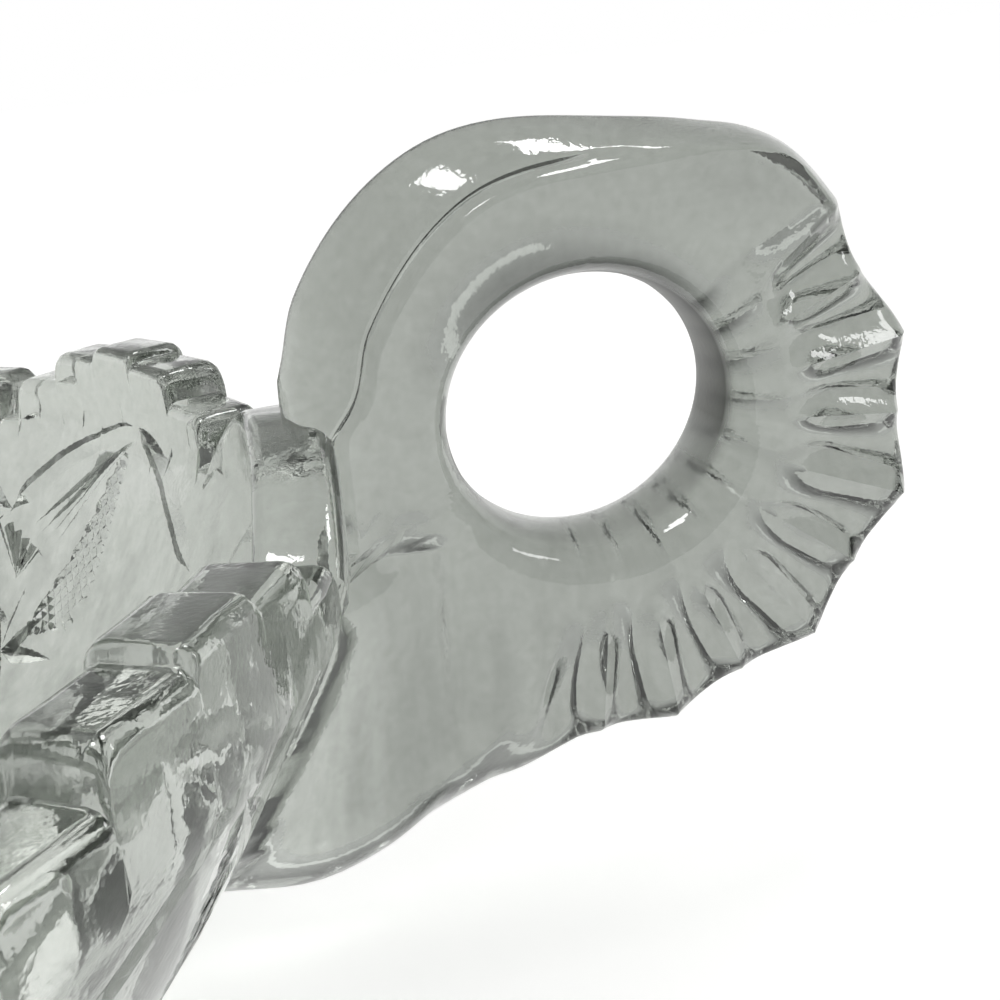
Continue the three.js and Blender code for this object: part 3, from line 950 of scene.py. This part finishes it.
both = node(tree, "ShaderNodeAddShader", {0: paper.outputs[0], 1: glow.outputs[0]})
node(tree, "ShaderNodeOutputMaterial", {"Surface": both.outputs[0]})
floor.data.materials.append(sweep)
print("floor:", round(2 * FLOOR_HALF * MM), "m across")

# %% Levels of the room
# Heights and sides are parts of a direction of length 1, and Y points away from the camera
HORIZON, HIGH, HIGH_LEVEL = 0.05, 0.5, 0.25
BESIDE, BEHIND, FRONT_LEVEL = 0.0, 0.5, 0.15
world = bpy.data.worlds.new("white_room")
bpy.context.scene.world = world
tree = empty_tree(world)
towards = node(tree, "ShaderNodeTexCoord").outputs["Generated"]
axes = node(tree, "ShaderNodeSeparateXYZ", {0: towards}).outputs
height = node(
    tree,
    "ShaderNodeMapRange",
    {
        "Value": axes["Z"],
        "From Min": HORIZON,
        "From Max": HIGH,
        "To Min": 1.0,
        "To Max": HIGH_LEVEL,
    },
)
side = node(
    tree,
    "ShaderNodeMapRange",
    {
        "Value": axes["Y"],
        "From Min": BESIDE,
        "From Max": BEHIND,
        "To Min": FRONT_LEVEL,
        "To Max": 1.0,
    },
)
room = node(
    tree,
    "ShaderNodeMath",
    {0: height.outputs[0], 1: side.outputs[0]},
    operation="MULTIPLY",
)
print("room overhead:", HIGH_LEVEL, "of white, towards the camera:", FRONT_LEVEL)

# %% Room
FILL_LEVEL, BACKDROP_LEVEL = 0.6, 1.0
rays = node(tree, "ShaderNodeLightPath").outputs
bent = node(
    tree,
    "ShaderNodeMath",
    {0: rays["Is Glossy Ray"], 1: rays["Is Transmission Ray"]},
    operation="MAXIMUM",
)
fill, backdrop, studio = (
    node(tree, "ShaderNodeBackground", {"Color": colour("#FFFFFF"), "Strength": strength})
    for strength in (FILL_LEVEL, BACKDROP_LEVEL, room.outputs[0])
)
unseen = node(
    tree,
    "ShaderNodeMixShader",
    {0: bent.outputs[0], 1: fill.outputs[0], 2: studio.outputs[0]},
)
surround = node(
    tree,
    "ShaderNodeMixShader",
    {0: rays["Is Camera Ray"], 1: unseen.outputs[0], 2: backdrop.outputs[0]},
)
node(tree, "ShaderNodeOutputWorld", {"Surface": surround.outputs[0]})
print("room:", world.name)

# %% Softboxes
MIDDLE = (0.04, 0, 0.03)


def softbox(name, place, width, height, watts, lights_floor=False, seen_through=False):
    """A lamp that faces the dish and shows in the glass as a mirrored bright mark."""
    lamp = bpy.data.lights.new(name, "AREA")
    lamp.shape, lamp.size, lamp.size_y, lamp.energy = "RECTANGLE", width, height, watts
    box = bpy.data.objects.new(name, lamp)
    box.location = place
    box.rotation_euler = (Vector(MIDDLE) - Vector(place)).to_track_quat("-Z", "Y").to_euler()
    box.visible_diffuse = lights_floor
    box.visible_transmission = seen_through
    bpy.context.scene.collection.objects.link(box)
    print(name, watts, "W")


softbox("softbox_over", (0.20, 0.06, 0.50), 0.09, 0.09, 0.42, lights_floor=True)
softbox("softbox_left", (-0.055, -0.08, 0.475), 0.09, 0.09, 0.42)
softbox("strip_back", (0.05, 0.75, 0.15), 0.45, 0.06, 0.05, seen_through=True)
softbox("strip_right", (0.43, -0.12, 0.33), 0.05, 0.16, 0.22, seen_through=True)

# %% [markdown]
# ## Camera
# The place, turn and lens of the camera were fitted to the rim's teeth, the finger hole and the
# edge of the wall in the photograph: a close view past the handle, a little from above, tilted by
# a few degrees. The near rim didn't agree with the rest, so the fit favours the handle and the far
# rim. Light that is caught in a glass rim turns many times before it leaves. With the usual limits
# those paths end early and the rim turns black, so the limits are raised.

# %% Camera at the photograph's view
EYE = Vector((58.8, -91.6, 63.2)) * MM
YAW, PITCH, ROLL = (math.radians(a) for a in (13.7, 18.3, -5.6))
FOCAL_PIXELS, PHOTO_PIXELS, SENSOR = 1389.0, 1000, 36.0
level_ahead = Vector((math.sin(YAW), math.cos(YAW), 0))
ahead = level_ahead * math.cos(PITCH) - Vector((0, 0, math.sin(PITCH)))
right = Vector((math.cos(YAW), -math.sin(YAW), 0))
up = right.cross(ahead)
tilted_right = right * math.cos(ROLL) + up * math.sin(ROLL)
tilted_up = up * math.cos(ROLL) - right * math.sin(ROLL)
turn = Matrix((tilted_right, tilted_up, -ahead)).transposed().to_4x4()
lens = bpy.data.cameras.new("camera")
lens.sensor_width, lens.lens = SENSOR, SENSOR * FOCAL_PIXELS / PHOTO_PIXELS
lens.clip_start, lens.clip_end = 0.005, 50
camera = bpy.data.objects.new("camera", lens)
camera.matrix_world = Matrix.Translation(EYE) @ turn
bpy.context.scene.collection.objects.link(camera)
bpy.context.scene.camera = camera
print("lens:", round(lens.lens, 1), "mm")

# %% Colours and light paths of the picture
bpy.context.scene.view_settings.view_transform = "Standard"
cycles = bpy.context.scene.cycles
cycles.max_bounces, cycles.glossy_bounces, cycles.transmission_bounces = 32, 24, 32
print("bounces:", cycles.max_bounces)
